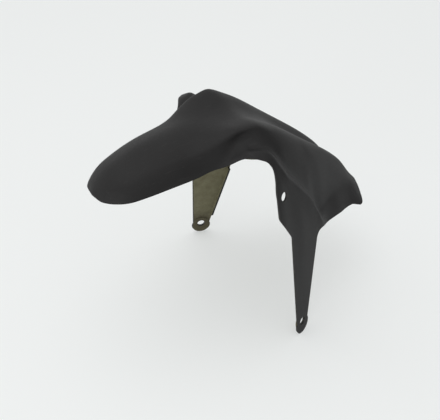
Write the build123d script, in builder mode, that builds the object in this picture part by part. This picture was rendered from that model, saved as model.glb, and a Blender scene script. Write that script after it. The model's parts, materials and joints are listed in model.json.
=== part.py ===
"""Front mudguard of a motorcycle: one moulded shell with a tongue, two shoulders, a tail and two legs."""

import os
from math import cos, radians, sin, tan

from build123d import *

# Frame: X forward along the tongue, Y to the rider's left, Z up.
# The origin is midway between the two lower bolt holes.

# Wall and bolt holes
wall = 2.5
hole_diameter = 12.0
lower_pad_diameter = 25.0
pad_height = 1.0

# Legs: flat panels, turned out at the front (toe) and leaning in at the top (splay), more above the knee
bolt_span = 264.0
toe_angle = 20.0
splay_angle = 6.5
knee_z = 165.0
tab_splay_angle = 11.3
leg_tip_depth = 19.5
leg_front_x = 12.0
leg_front_top_x = 19.5
leg_front_top_z = 151.0
tab_front_x = 43.0
tab_bottom_z = 190.0
upper_hole_x = 31.5
upper_hole_z = 217.0
leg_rear_slope = 0.218
leg_rear_bottom_x = -12.3
leg_rear_top_z = 125.5
leg_corner_radius = 14.0
lip_depth = 7.0
lip_inset = 0.3
lip_bottom_z = 20.0
lip_top_z = 112.0

# Tongue, shoulders and tail, seen from the side
tip_x = 230.0
tip_z = 231.0
crown_z = 282.0
crown_front_x = 92.0
shoulder_x = 38.0
shoulder_y = 48.0
shoulder_z = 289.5
arch_drop = 11.5
lip_z = crown_z - arch_drop
tail_x = -174.0
tail_ridge_z = 117.0
tail_rim_z = 107.0
tail_corner_x = -155.0
tail_corner_z = 95.5
tail_corner_radius = 12.0
foot_z = -40.0
cheek_rounding = 14.0
knee_rounding = 14.0
station_count = 35


def panel_y(x, z):
    """Half-width of the outer face of the leg, and of its tab above the knee, in the side view."""
    toe = radians(toe_angle)
    leg_lean = min(z, knee_z) * tan(radians(splay_angle))
    tab_lean = max(z - knee_z, 0) * tan(radians(tab_splay_angle))
    return bolt_span / 2 + tan(toe) * x - (leg_lean + tab_lean) / cos(toe)


# Guide lines, from tail to tip: (x, half-width, height)
crown_line = [
    (tail_x - 14, 0, 93),
    (-130, 0, 155),
    (-60, 0, 214),
    (0, 0, 262),
    (shoulder_x, 0, crown_z - 2),
    (crown_front_x, 0, crown_z),
    (152, 0, 275.5),
    (199, 0, 262),
    (219, 0, 250.5),
    (tip_x + 8, 0, 226),
]
ridge_line = [
    (tail_x - 14, 22, 96),
    (-157, 25, 132.5),
    (-131, 28, 166.5),
    (-50, 39, 233),
    (5, 46, 274),
    (shoulder_x, shoulder_y, shoulder_z),
    (57, 47, 289),
    (90, 40.5, 277.5),
    (105, 36.5, 272),
    (152, 30, 267),
    (199, 25, 255),
    (219, 19.5, 245.5),
    (tip_x + 8, 10, 224),
]
flank_line = [
    (tail_x - 14, 32, 92),
    (-96, 52.5, 177.5),
    (-44, 67, 217),
    (9.5, 72, 262),
    (shoulder_x + 2, 59, 281),
    (58, 52.5, 277),
    (76, 51, 271),
    (105, 47, 263),
    (152, 43, 258.5),
    (199, 35.5, 247.5),
    (219, 26, 240.5),
    (tip_x + 8, 14, 220),
]
valley_line = [
    (tail_x - 14, 44, 84),
    (-132, 50, 129),
    (-96, 61, 144),
    (-49, 81, 155),
    (-36.5, 84, 175),
    (7, 87, 231),
    (37, 76, lip_z - 0.5),
    (58, 66.5, lip_z + 1),
    (76, 58.5, 261),
    (105, 53, 253.5),
    (152, 50, 249.5),
    (199, 41, 241),
    (219, 31, 235.5),
    (tip_x + 8, 17.5, 216),
]
crease_line = [
    (tail_x - 14, 60, 78),
    (-132, 64, 113),
    (-92, 74, 130),
    (-67, 86, 132),
    (-46, panel_y(-46, 142), 142),
    (-33, panel_y(-33, 171), 171),
    (7, panel_y(7, 223), 223),
    (25, panel_y(25, 246) - 1.5, 246),
    (37, 93, lip_z - 4.5),
    (46, 88, lip_z),
    (58, 79, lip_z + 0.5),
    (67, 72, lip_z - 3.5),
    (76, 64.5, 259),
    (105, 55, 246),
    (152, 52.5, 243),
    (199, 43.5, 237),
    (219, 33, 231.5),
    (tip_x + 8, 18.5, 213),
]
cheek_line = [
    (tail_x - 14, 76, 72),
    (-132, 73, 101),
    (-90, panel_y(-90, 111) + 2, 111),
    (-66, panel_y(-66, 112) + 1, 112),
    (-46, panel_y(-46, 128), 128),
    (-32, panel_y(-32, 158), 158),
    (7, panel_y(7, 210), 210),
    (25, panel_y(25, 231), 231),
    (37, panel_y(37, 243), 243),
    (46, panel_y(46, 249) - 1, 249),
    (52, 103, 257),
    (58, 89, lip_z - 4.5),
    (67, 80, lip_z - 6.5),
    (76, 68, 255),
    (105, 56, 239),
    (152, 53.5, 235),
    (199, 44.5, 230),
    (219, 34, 226),
    (tip_x + 8, 19.5, 207),
]
knee_line = [
    (tail_x - 14, panel_y(tail_x - 14, 20), 20),
    (-66, panel_y(-66, 70), 70),
    (-32, panel_y(-32, 110), 110),
    (7, panel_y(7, knee_z), knee_z),
    (25, panel_y(25, knee_z), knee_z),
    (47, panel_y(47, knee_z), knee_z),
    (60, 108, knee_z),
    (76, 77, knee_z),
    (105, 56.5, 150),
    (tip_x + 8, 19.8, 120),
]
foot_line = [
    (tail_x - 14, panel_y(tail_x - 14, foot_z), foot_z),
    (25, panel_y(25, foot_z), foot_z),
    (47, panel_y(47, foot_z), foot_z),
    (60, 120, foot_z),
    (76, 85, foot_z),
    (105, 57, foot_z),
    (tip_x + 8, 20, foot_z),
]
upper_lines = (crown_line, ridge_line, flank_line, valley_line, crease_line, cheek_line)
section_lines = (*upper_lines, knee_line, foot_line)
first_x = crown_line[0][0]
last_x = crown_line[-1][0]
stations = [first_x + (last_x - first_x) * k / (station_count - 1) for k in range(station_count)]


def on_line(line, x):
    """Half-width and height of a guide line at a station: a smooth curve with no overshoot."""
    steps = [(b[0] - a[0], b[1] - a[1], b[2] - a[2]) for a, b in zip(line, line[1:])]
    spans = [(dx, dy / dx, dz / dx) for dx, dy, dz in steps]
    last = len(line) - 1
    i = max(k for k in range(last) if line[k][0] <= x or k == 0)

    def slope(k, axis):
        if k == 0 or k == last:
            return spans[min(k, last - 1)][axis]
        before, after = spans[k - 1][axis], spans[k][axis]
        return 0.0 if before * after <= 0 else 2 * before * after / (before + after)

    step = spans[i][0]
    t = (x - line[i][0]) / step
    point = []
    for axis in (1, 2):
        a, b = line[i][axis], line[i + 1][axis]
        point.append(
            a * (1 + 2 * t) * (1 - t) ** 2
            + step * slope(i, axis) * t * (1 - t) ** 2
            + b * t**2 * (3 - 2 * t)
            + step * slope(i + 1, axis) * t**2 * (t - 1)
        )
    return tuple(point)


def half_section(x, depth):
    """Crown to foot of one half of a section, moved in from the outer face by a depth."""
    outer = [on_line(line, x) for line in section_lines]
    moved = []
    for k, (y, z) in enumerate(outer):
        y0, z0 = outer[max(k - 1, 0)]
        y1, z1 = outer[min(k + 1, len(outer) - 1)]
        dy, dz = (1.0, 0.0) if k == 0 else (y1 - y0, z1 - z0)
        length = (dy * dy + dz * dz) ** 0.5
        ny, nz = -dz / length, dy / length
        ya, za = on_line(section_lines[k], x - 1)
        yb, zb = on_line(section_lines[k], x + 1)
        lean = ny * (yb - ya) / 2 + nz * (zb - za) / 2
        step = depth * (1 + lean * lean) ** 0.5
        moved.append((y - step * ny, z - step * nz))
    return moved


def towards(a, b, rise):
    """Point on the line from a to b whose height differs from a's by the rise."""
    share = rise / abs(b[1] - a[1])
    return (a[0] + share * (b[0] - a[0]), a[1] + share * (b[1] - a[1]))


def section_sketch(x, depth):
    """Closed section across the part at a station: each corner of the half section is rounded."""
    *half, knee, foot = half_section(x, depth)
    start = towards(half[-1], knee, cheek_rounding)
    knee_top = towards(knee, half[-1], knee_rounding)
    knee_low = towards(knee, foot, knee_rounding)
    around = [(-half[1][0], half[1][1]), *half]
    for k in range(len(half) - 1):
        before, here, after = around[k : k + 3]
        half[k] = tuple(c + (2 * c - a - b) / 6 for a, c, b in zip(before, here, after))
    corners = [(-y, z) for y, z in reversed(half[1:])] + half
    ends = [((a[0] + b[0]) / 2, (a[1] + b[1]) / 2) for a, b in zip(corners, corners[1:])]
    ends = [(-start[0], start[1]), *ends, start]
    right = [(-y, z) for y, z in (foot, knee_low, knee, knee_top)]
    with BuildSketch(Plane(origin=(x, 0, 0), x_dir=(0, 1, 0), z_dir=(1, 0, 0))) as section:
        with BuildLine():
            for a, corner, b in zip(ends, corners, ends[1:]):
                Bezier(a, corner, b)
            Line(start, knee_top)
            Bezier(knee_top, knee, knee_low)
            Polyline(knee_low, foot, right[0], right[1])
            Bezier(right[1], right[2], right[3])
            Line(right[3], ends[0])
        make_face()
    return section.sketch


def panel_plane(height, lean_angle):
    """Plane of the outer face of the left leg or tab, with its origin above the lower bolt hole."""
    toe, lean = radians(toe_angle), radians(lean_angle)
    normal = (-sin(toe) * cos(lean), cos(toe) * cos(lean), sin(lean))
    return Plane(origin=(0, panel_y(0, height), height), x_dir=(cos(toe), sin(toe), 0), z_dir=normal)


def on_panel(x, rise, lean_angle):
    """Place on such a plane of a point given in the side view, by its rise above the plane's origin."""
    toe, lean = radians(toe_angle), radians(lean_angle)
    along = (x - rise * tan(lean) * sin(toe)) / cos(toe)
    return (along, -rise / cos(lean))


leg_panel = panel_plane(0, splay_angle)
tab_panel = panel_plane(knee_z, tab_splay_angle)

lip_bottom_x = leg_rear_bottom_x - leg_rear_slope * lip_bottom_z + lip_inset
lip_top_x = leg_rear_bottom_x - leg_rear_slope * lip_top_z + lip_inset

# Ring pad behind the lower bolt hole and inward lip along the rear edge of the left leg
with BuildPart() as stiffeners:
    with BuildSketch(leg_panel.offset(-wall / 2)):
        Circle(lower_pad_diameter / 2)
    extrude(amount=-(wall / 2 + pad_height))
    with BuildSketch(leg_panel.offset(-wall / 2)):
        with BuildLine():
            Polyline(
                on_panel(lip_bottom_x, lip_bottom_z, splay_angle),
                on_panel(lip_top_x, lip_top_z, splay_angle),
                on_panel(lip_top_x + wall, lip_top_z, splay_angle),
                on_panel(lip_bottom_x + wall, lip_bottom_z, splay_angle),
                close=True,
            )
        make_face()
    extrude(amount=-(wall / 2 + lip_depth))

# Bolt holes of the left leg, square to the leg and to the tab
with BuildPart() as bores:
    with BuildSketch(leg_panel):
        Circle(hole_diameter / 2)
    with BuildSketch(tab_panel):
        with Locations(on_panel(upper_hole_x, upper_hole_z - knee_z, tab_splay_angle)):
            Circle(hole_diameter / 2)
    extrude(amount=4 * wall, both=True)

# Mudguard shell: the moulded form, trimmed to its side view, then stiffened and drilled on both sides
with BuildPart() as mudguard:
    loft([section_sketch(x, 0) for x in stations])
    loft([section_sketch(x, wall) for x in stations], mode=Mode.SUBTRACT)
    with BuildSketch(Plane.XZ) as side_view:
        with BuildLine():
            tongue_rim = Spline(
                (tip_x + 2, tip_z + 1.5),
                (199, 235.5),
                (152, 242),
                (105, 246.3),
                tangents=[(-1, 0.05), (-1, 0.25)],
            )
            arch = Spline(
                tongue_rim @ 1,
                (76, 256),
                (58, lip_z - 3),
                (46, 259),
                (42, 244),
                (tab_front_x, upper_hole_z),
                tangents=[(-1, 0.25), (-0.1, -1)],
            )
            leg_front = FilletPolyline(
                arch @ 1,
                (tab_front_x, tab_bottom_z),
                (leg_front_top_x, leg_front_top_z),
                (leg_front_x, 0),
                radius=leg_corner_radius,
            )
            leg_tip = ThreePointArc(leg_front @ 1, (0, -leg_tip_depth), (leg_rear_bottom_x, 0))
            tail_rim = FilletPolyline(
                leg_tip @ 1,
                (leg_rear_bottom_x - leg_rear_slope * leg_rear_top_z, leg_rear_top_z),
                (-90, tail_rim_z + 9.5),
                (-134, tail_rim_z),
                (tail_corner_x, tail_corner_z),
                (tail_x, tail_ridge_z + 4),
                radius=tail_corner_radius,
            )
            Polyline(tail_rim @ 1, (tail_x, 2 * crown_z), (tip_x + 2, 2 * crown_z), tongue_rim @ 0)
        make_face()
    extrude(amount=bolt_span, both=True, mode=Mode.INTERSECT)
    add(stiffeners.part)
    mirror(stiffeners.part, about=Plane.XZ)
    add(bores.part, mode=Mode.SUBTRACT)
    mirror(bores.part, about=Plane.XZ, mode=Mode.SUBTRACT)

mudguard.part.label = "mudguard_shell"

os.makedirs("parts", exist_ok=True)
export_step(mudguard.part, "parts/mudguard_shell.step")
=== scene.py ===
import json
import math

import bpy
from mathutils import Matrix, Vector

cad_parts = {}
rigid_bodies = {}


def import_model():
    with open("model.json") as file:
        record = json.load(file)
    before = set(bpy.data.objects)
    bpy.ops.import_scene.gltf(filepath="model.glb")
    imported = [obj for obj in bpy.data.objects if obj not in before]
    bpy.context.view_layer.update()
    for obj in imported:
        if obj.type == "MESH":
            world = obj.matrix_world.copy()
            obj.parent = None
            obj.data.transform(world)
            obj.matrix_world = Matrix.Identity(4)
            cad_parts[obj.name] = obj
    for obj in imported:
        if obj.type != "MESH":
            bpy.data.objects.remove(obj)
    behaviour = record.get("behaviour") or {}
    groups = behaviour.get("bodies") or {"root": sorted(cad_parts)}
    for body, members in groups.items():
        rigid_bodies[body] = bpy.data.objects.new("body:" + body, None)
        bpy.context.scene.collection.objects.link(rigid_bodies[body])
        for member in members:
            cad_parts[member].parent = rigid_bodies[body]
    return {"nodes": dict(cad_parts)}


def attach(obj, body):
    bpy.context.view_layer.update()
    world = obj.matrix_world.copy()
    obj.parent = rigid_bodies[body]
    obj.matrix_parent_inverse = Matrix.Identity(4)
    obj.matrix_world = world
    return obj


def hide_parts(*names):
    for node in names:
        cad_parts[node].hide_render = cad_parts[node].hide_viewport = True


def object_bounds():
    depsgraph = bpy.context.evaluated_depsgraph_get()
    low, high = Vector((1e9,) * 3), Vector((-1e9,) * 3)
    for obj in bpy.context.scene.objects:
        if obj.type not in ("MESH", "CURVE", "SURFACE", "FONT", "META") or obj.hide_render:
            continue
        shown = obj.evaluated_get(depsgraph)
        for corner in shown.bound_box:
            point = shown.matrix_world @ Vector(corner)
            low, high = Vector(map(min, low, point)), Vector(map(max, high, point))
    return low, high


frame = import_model()
cad_box = [list(corner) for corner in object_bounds()]
scene = bpy.context.scene
scene.view_settings.view_transform = "Standard"


# Shell: one hand-laid moulding about 2.5 mm thick, with a tongue ahead of the fork, two raised
# shoulders, a shelf down each side and a leg that bolts to each fork tube.
# Its skin is a matt black gel coat, and the laminate is left raw on the wheel side.
bpy.ops.object.select_all(action="DESELECT")
shell = bpy.data.objects.new("mudguard", frame["nodes"]["mudguard_shell"].data.copy())
scene.collection.objects.link(shell)
bpy.context.view_layer.objects.active = shell
shell.select_set(True)

merge_distance = 0.00002
rim_angle = math.radians(25)
bpy.ops.object.mode_set(mode="EDIT")
bpy.ops.mesh.select_mode(type="FACE")
bpy.ops.mesh.select_all(action="SELECT")
bpy.ops.mesh.remove_doubles(threshold=merge_distance)
bpy.ops.mesh.select_all(action="DESELECT")
bpy.ops.mesh.select_mode(type="EDGE")
bpy.ops.mesh.edges_select_sharp(sharpness=rim_angle)
bpy.ops.mesh.mark_sharp()
bpy.ops.mesh.select_mode(type="FACE")
bpy.ops.mesh.select_all(action="DESELECT")
bpy.ops.object.mode_set(mode="OBJECT")


def laid_finish(
    name, dark, light, rubbed, patch_scale, grain_scale, grain_depth, roughness, specular
):
    """A coated or raw laminate: patches of tone, thin rub marks, and a fine grain in bump and gloss."""
    material = bpy.data.materials.new(name)
    material.use_nodes = True
    nodes, links = material.node_tree.nodes, material.node_tree.links
    shader = nodes["Principled BSDF"]
    shader.inputs["Specular IOR Level"].default_value = specular
    place = nodes.new("ShaderNodeTexCoord")
    patches = nodes.new("ShaderNodeTexNoise")
    patches.inputs["Scale"].default_value = patch_scale
    patches.inputs["Detail"].default_value = 5
    links.new(place.outputs["Object"], patches.inputs["Vector"])
    tone = nodes.new("ShaderNodeValToRGB")
    tone.color_ramp.elements[0].position = 0.32
    tone.color_ramp.elements[0].color = (*dark, 1)
    tone.color_ramp.elements[1].position = 0.68
    tone.color_ramp.elements[1].color = (*light, 1)
    links.new(patches.outputs["Fac"], tone.inputs["Fac"])
    lengthwise = nodes.new("ShaderNodeMapping")
    lengthwise.inputs["Scale"].default_value = (12, 90, 90)
    links.new(place.outputs["Object"], lengthwise.inputs["Vector"])
    streaks = nodes.new("ShaderNodeTexNoise")
    streaks.inputs["Scale"].default_value = 4
    streaks.inputs["Detail"].default_value = 8
    links.new(lengthwise.outputs["Vector"], streaks.inputs["Vector"])
    marks = nodes.new("ShaderNodeMapRange")
    marks.inputs["From Min"].default_value = 0.6
    marks.inputs["From Max"].default_value = 0.8
    links.new(streaks.outputs["Fac"], marks.inputs["Value"])
    wear = nodes.new("ShaderNodeMixRGB")
    wear.inputs["Color2"].default_value = (*rubbed, 1)
    links.new(marks.outputs["Result"], wear.inputs["Fac"])
    links.new(tone.outputs["Color"], wear.inputs["Color1"])
    links.new(wear.outputs["Color"], shader.inputs["Base Color"])
    grain = nodes.new("ShaderNodeTexNoise")
    grain.inputs["Scale"].default_value = grain_scale
    grain.inputs["Detail"].default_value = 3
    links.new(place.outputs["Object"], grain.inputs["Vector"])
    gloss = nodes.new("ShaderNodeMapRange")
    gloss.inputs["From Min"].default_value = 0.3
    gloss.inputs["From Max"].default_value = 0.7
    gloss.inputs["To Min"].default_value = roughness[0]
    gloss.inputs["To Max"].default_value = roughness[1]
    links.new(grain.outputs["Fac"], gloss.inputs["Value"])
    links.new(gloss.outputs["Result"], shader.inputs["Roughness"])
    relief = nodes.new("ShaderNodeBump")
    relief.inputs["Strength"].default_value = 0.6
    relief.inputs["Distance"].default_value = grain_depth
    links.new(grain.outputs["Fac"], relief.inputs["Height"])
    links.new(relief.outputs["Normal"], shader.inputs["Normal"])
    return material


trimmed_edge = laid_finish(
    "trimmed_edge",
    dark=(0.012, 0.012, 0.012),
    light=(0.03, 0.029, 0.026),
    rubbed=(0.06, 0.056, 0.045),
    patch_scale=120,
    grain_scale=1400,
    grain_depth=0.0001,
    roughness=(0.55, 0.75),
    specular=0.3,
)
black_gel_coat = laid_finish(
    "black_gel_coat",
    dark=(0.0118, 0.0114, 0.0115),
    light=(0.0148, 0.0144, 0.0145),
    rubbed=(0.022, 0.0215, 0.021),
    patch_scale=22,
    grain_scale=1100,
    grain_depth=0.00008,
    roughness=(0.5, 0.62),
    specular=0.25,
)
raw_laminate = laid_finish(
    "raw_laminate",
    dark=(0.128, 0.12, 0.07),
    light=(0.172, 0.163, 0.099),
    rubbed=(0.105, 0.092, 0.054),
    patch_scale=90,
    grain_scale=500,
    grain_depth=0.0003,
    roughness=(0.6, 0.85),
    specular=0.35,
)

# The raw laminate is darkened and browned in a ring round the two lower bolt holes, with an uneven
# edge.
lower_bolt = (0, 0.1287, 0)
dark_ring_colour = (0.074, 0.065, 0.037, 1)
full_dark_radius, clean_radius, edge_unevenness = 0.015, 0.037, 0.012
laminate_nodes, laminate_links = raw_laminate.node_tree.nodes, raw_laminate.node_tree.links
laminate_shader = laminate_nodes["Principled BSDF"]
clean_colour = laminate_shader.inputs["Base Color"].links[0].from_socket
ring_place = laminate_nodes.new("ShaderNodeTexCoord")
either_leg = laminate_nodes.new("ShaderNodeVectorMath")
either_leg.operation = "ABSOLUTE"
laminate_links.new(ring_place.outputs["Object"], either_leg.inputs[0])
from_bolt = laminate_nodes.new("ShaderNodeVectorMath")
from_bolt.operation = "DISTANCE"
from_bolt.inputs[1].default_value = lower_bolt
laminate_links.new(either_leg.outputs["Vector"], from_bolt.inputs[0])
ragged = laminate_nodes.new("ShaderNodeTexNoise")
ragged.inputs["Scale"].default_value = 260
laminate_links.new(ring_place.outputs["Object"], ragged.inputs["Vector"])
ragged_distance = laminate_nodes.new("ShaderNodeMath")
ragged_distance.operation = "MULTIPLY_ADD"
ragged_distance.inputs[1].default_value = edge_unevenness
laminate_links.new(ragged.outputs["Fac"], ragged_distance.inputs[0])
laminate_links.new(from_bolt.outputs["Value"], ragged_distance.inputs[2])
dark_share = laminate_nodes.new("ShaderNodeMapRange")
dark_share.inputs["From Min"].default_value = full_dark_radius
dark_share.inputs["From Max"].default_value = clean_radius
dark_share.inputs["To Min"].default_value = 1
dark_share.inputs["To Max"].default_value = 0
laminate_links.new(ragged_distance.outputs["Value"], dark_share.inputs["Value"])
darkened = laminate_nodes.new("ShaderNodeMixRGB")
darkened.inputs["Color2"].default_value = dark_ring_colour
laminate_links.new(dark_share.outputs["Result"], darkened.inputs["Fac"])
laminate_links.new(clean_colour, darkened.inputs["Color1"])
laminate_links.new(darkened.outputs["Color"], laminate_shader.inputs["Base Color"])

shell.data.materials.clear()
for finish in (trimmed_edge, black_gel_coat, raw_laminate):
    shell.data.materials.append(finish)

same_way = 0.7
flat_rim_angle = math.radians(4)


def paint_skin(seed, facing, finish, with_rim=False):
    """Gives one finish to all the faces that join the one nearest the seed, out to the sharp edges."""
    facing_faces = [f for f in shell.data.polygons if f.normal.dot(Vector(facing)) > same_way]
    start = min(facing_faces, key=lambda face: (face.center - Vector(seed)).length)
    start.select = True
    bpy.ops.object.mode_set(mode="EDIT")
    bpy.ops.mesh.select_linked(delimit={"SHARP"})
    if with_rim:
        bpy.ops.mesh.select_more()
        bpy.ops.mesh.faces_select_linked_flat(sharpness=flat_rim_angle)
    shell.active_material_index = shell.data.materials.find(finish.name)
    bpy.ops.object.material_slot_assign()
    bpy.ops.mesh.select_all(action="DESELECT")
    bpy.ops.object.mode_set(mode="OBJECT")


up, down = (0, 0, 1), (0, 0, -1)
crown_top = (0, 0, 0.262)
crown_underside = (0, 0, 0.259)
paint_skin(crown_underside, down, raw_laminate)

# On each leg the wheel side of the ring pad and of the rear lip stays raw too.
for side in (1, -1):
    pad_face, to_wheel = (0.0105, side * 0.1315, 0), (0.34, -side * 0.934, -0.113)
    pad_edge = (0.001, side * 0.1285, 0.0125)
    lip_face, to_front = (-0.0219, side * 0.1097, 0.0653), (0.94, side * 0.342, 0)
    paint_skin(pad_face, to_wheel, raw_laminate)
    paint_skin(pad_edge, up, raw_laminate)
    paint_skin(lip_face, to_front, raw_laminate)

# The rim takes its finish together with the outer skin, which then gets its own coat.
paint_skin(crown_top, up, trimmed_edge, with_rim=True)
paint_skin(crown_top, up, black_gel_coat)


def ease_rim(is_picked, shift, spread):
    """Moves the picked places of the rim a little, and what lies round them with a soft fall-off."""
    bpy.ops.object.mode_set(mode="EDIT")
    bpy.ops.mesh.select_mode(type="VERT")
    bpy.ops.mesh.select_all(action="DESELECT")
    bpy.ops.object.mode_set(mode="OBJECT")
    for point in shell.data.vertices:
        point.select = is_picked(point.co)
    bpy.ops.object.mode_set(mode="EDIT")
    bpy.ops.transform.translate(
        value=shift,
        use_proportional_edit=True,
        proportional_edit_falloff="SMOOTH",
        proportional_size=spread,
    )
    bpy.ops.mesh.select_all(action="DESELECT")
    bpy.ops.mesh.select_mode(type="FACE")
    bpy.ops.object.mode_set(mode="OBJECT")


# The two corners of the tongue's end are rubbed down, so that its nose is round.
nose_end, nose_corner, nose_reach = 0.231, 0.0125, 0.0015
nose_rub, nose_spread = (-0.0014, 0, 0), 0.012
ease_rim(
    lambda place: place.x > nose_end and abs(abs(place.y) - nose_corner) < nose_reach,
    nose_rub,
    nose_spread,
)

# Each arch is opened a little at its upper rear corner.
arch_corner, arch_reach = Vector((0.0455, 0.104, 0.2585)), 0.005
arch_lift, arch_spread = (-0.001, 0, 0.0028), 0.016
ease_rim(
    lambda place: (Vector((place.x, abs(place.y), place.z)) - arch_corner).length < arch_reach,
    arch_lift,
    arch_spread,
)

# The two corners of the tail are drawn out a little, back and to the side.
tail_reach, tail_spread = 0.009, 0.026
for side in (1, -1):
    tail_corner = Vector((-0.1585, side * 0.0533, 0.1018))
    tail_draw = (-0.0029, side * 0.0019, 0)
    ease_rim(lambda place: (place - tail_corner).length < tail_reach, tail_draw, tail_spread)

bpy.ops.object.shade_smooth_by_angle(angle=rim_angle)
bpy.ops.object.modifier_add(type="WEIGHTED_NORMAL")
shell.modifiers["WeightedNormal"].keep_sharp = True
bpy.ops.object.modifier_apply(modifier="WeightedNormal")
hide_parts("mudguard_shell")
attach(shell, "root")


# Studio: a plain pale floor under the leg tips, a broad soft lamp overhead, a low soft one in front,
# and a pale sky that is brighter on the far side of the object.
# The camera stands ahead of the left leg, well above the crown, and looks down at the tongue.
floor_height = cad_box[0][2]
bpy.ops.mesh.primitive_plane_add(size=14, location=(0, 0, floor_height))
floor = bpy.context.object
floor.name = "floor"
floor_paint = bpy.data.materials.new("floor_paint")
floor_paint.use_nodes = True
floor_nodes, floor_links = floor_paint.node_tree.nodes, floor_paint.node_tree.links
floor_shader = floor_nodes["Principled BSDF"]
floor_shader.inputs["Base Color"].default_value = (0.87, 0.885, 0.88, 1)
floor_shader.inputs["Roughness"].default_value = 0.6
pale_glow = floor_nodes.new("ShaderNodeEmission")
pale_glow.inputs["Color"].default_value = (0.93, 0.955, 0.95, 1)
glow_share = 0.45
seen_by = floor_nodes.new("ShaderNodeLightPath")
seen = seen_by.outputs["Is Camera Ray"]
for other_ray in ("Is Glossy Ray", "Is Transmission Ray"):
    either_ray = floor_nodes.new("ShaderNodeMath")
    either_ray.operation = "MAXIMUM"
    floor_links.new(seen, either_ray.inputs[0])
    floor_links.new(seen_by.outputs[other_ray], either_ray.inputs[1])
    seen = either_ray.outputs["Value"]
glow_when_seen = floor_nodes.new("ShaderNodeMath")
glow_when_seen.operation = "MULTIPLY"
glow_when_seen.inputs[1].default_value = glow_share
floor_links.new(seen, glow_when_seen.inputs[0])
paint_and_glow = floor_nodes.new("ShaderNodeMixShader")
floor_links.new(glow_when_seen.outputs["Value"], paint_and_glow.inputs["Fac"])
floor_links.new(floor_shader.outputs["BSDF"], paint_and_glow.inputs[1])
floor_links.new(pale_glow.outputs["Emission"], paint_and_glow.inputs[2])
floor_links.new(paint_and_glow.outputs["Shader"], floor_nodes["Material Output"].inputs["Surface"])
floor.data.materials.append(floor_paint)

lamp_aim = Vector((0, 0, 0.2))


def soft_lamp(name, place, width, power):
    """A round soft lamp that points at the middle of the shell."""
    bpy.ops.object.light_add(type="AREA", location=place)
    lamp = bpy.context.object
    lamp.name = name
    lamp.data.shape = "DISK"
    lamp.data.size = width
    lamp.data.energy = power
    lamp.rotation_euler = (lamp_aim - lamp.location).to_track_quat("-Z", "Y").to_euler()


soft_lamp("overhead_softbox", (0.25, -0.1, 1.9), width=1.5, power=5)
soft_lamp("front_fill", (1.5, 0.75, 0.45), width=1.2, power=6)

far_side = Vector((0.6, -0.6, 0.5)).normalized()
near_brightness, far_brightness = 0.35, 0.95
sky = bpy.data.worlds.new("pale_sky")
scene.world = sky
sky.use_nodes = True
sky_nodes, sky_links = sky.node_tree.nodes, sky.node_tree.links
sky_nodes["Background"].inputs["Color"].default_value = (1, 1, 1, 1)
direction = sky_nodes.new("ShaderNodeTexCoord")
from_far_side = sky_nodes.new("ShaderNodeVectorMath")
from_far_side.operation = "DOT_PRODUCT"
from_far_side.inputs[1].default_value = far_side
sky_links.new(direction.outputs["Generated"], from_far_side.inputs[0])
brightness = sky_nodes.new("ShaderNodeMapRange")
brightness.inputs["From Min"].default_value = -1
brightness.inputs["From Max"].default_value = 1
brightness.inputs["To Min"].default_value = near_brightness
brightness.inputs["To Max"].default_value = far_brightness
sky_links.new(from_far_side.outputs["Value"], brightness.inputs["Value"])
sky_links.new(brightness.outputs["Result"], sky_nodes["Background"].inputs["Strength"])

eye = Vector((0.4991, 0.6741, 0.7644))
look = Vector((-0.437, -0.656, -0.616)).normalized()
across = look.cross(Vector((0, 0, 1))).normalized()
upward = across.cross(look)
turn = Matrix((across, upward, -look)).transposed().to_4x4()
image_width = 440
focal_pixels = 750
camera_data = bpy.data.cameras.new("camera")
camera_data.sensor_width = 36
camera_data.lens = focal_pixels / image_width * camera_data.sensor_width
camera = bpy.data.objects.new("camera", camera_data)
camera.matrix_world = Matrix.Translation(eye) @ turn
scene.collection.objects.link(camera)
scene.camera = camera
